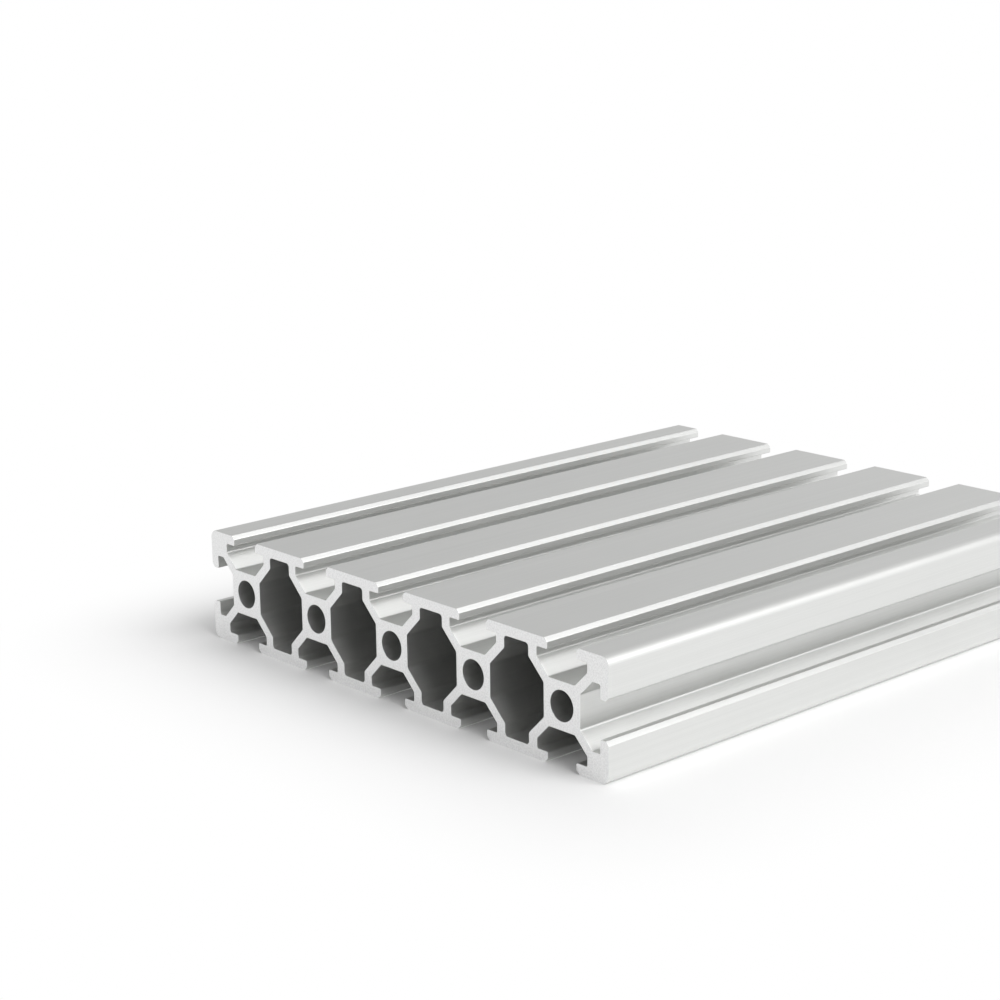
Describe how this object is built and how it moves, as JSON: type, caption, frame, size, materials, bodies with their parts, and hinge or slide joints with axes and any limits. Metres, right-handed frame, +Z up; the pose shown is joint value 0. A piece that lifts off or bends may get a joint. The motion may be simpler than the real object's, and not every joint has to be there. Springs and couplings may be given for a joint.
{
  "type": "t-slot aluminum extrusion",
  "caption": "Wide, flat length of framing extrusion with T-slots along every side, hollows between its cells and plain bores from end to end.",
  "frame": {"origin": "under the middle of the bar, on the plane it lies on: half way across its width and along its length", "axes": "+X across the width, +Y along the extruded length, away from the cut end that the picture shows, +Z up"},
  "size_m": [0.1, 0.12, 0.02],
  "materials": {
    "anodised_aluminium": "satin clear anodised, fine die lines along the length, saw-cut ends"
  },
  "bodies": {
    "root": {"t_slot_extrusion": "anodised_aluminium"}
  },
  "joints": []
}
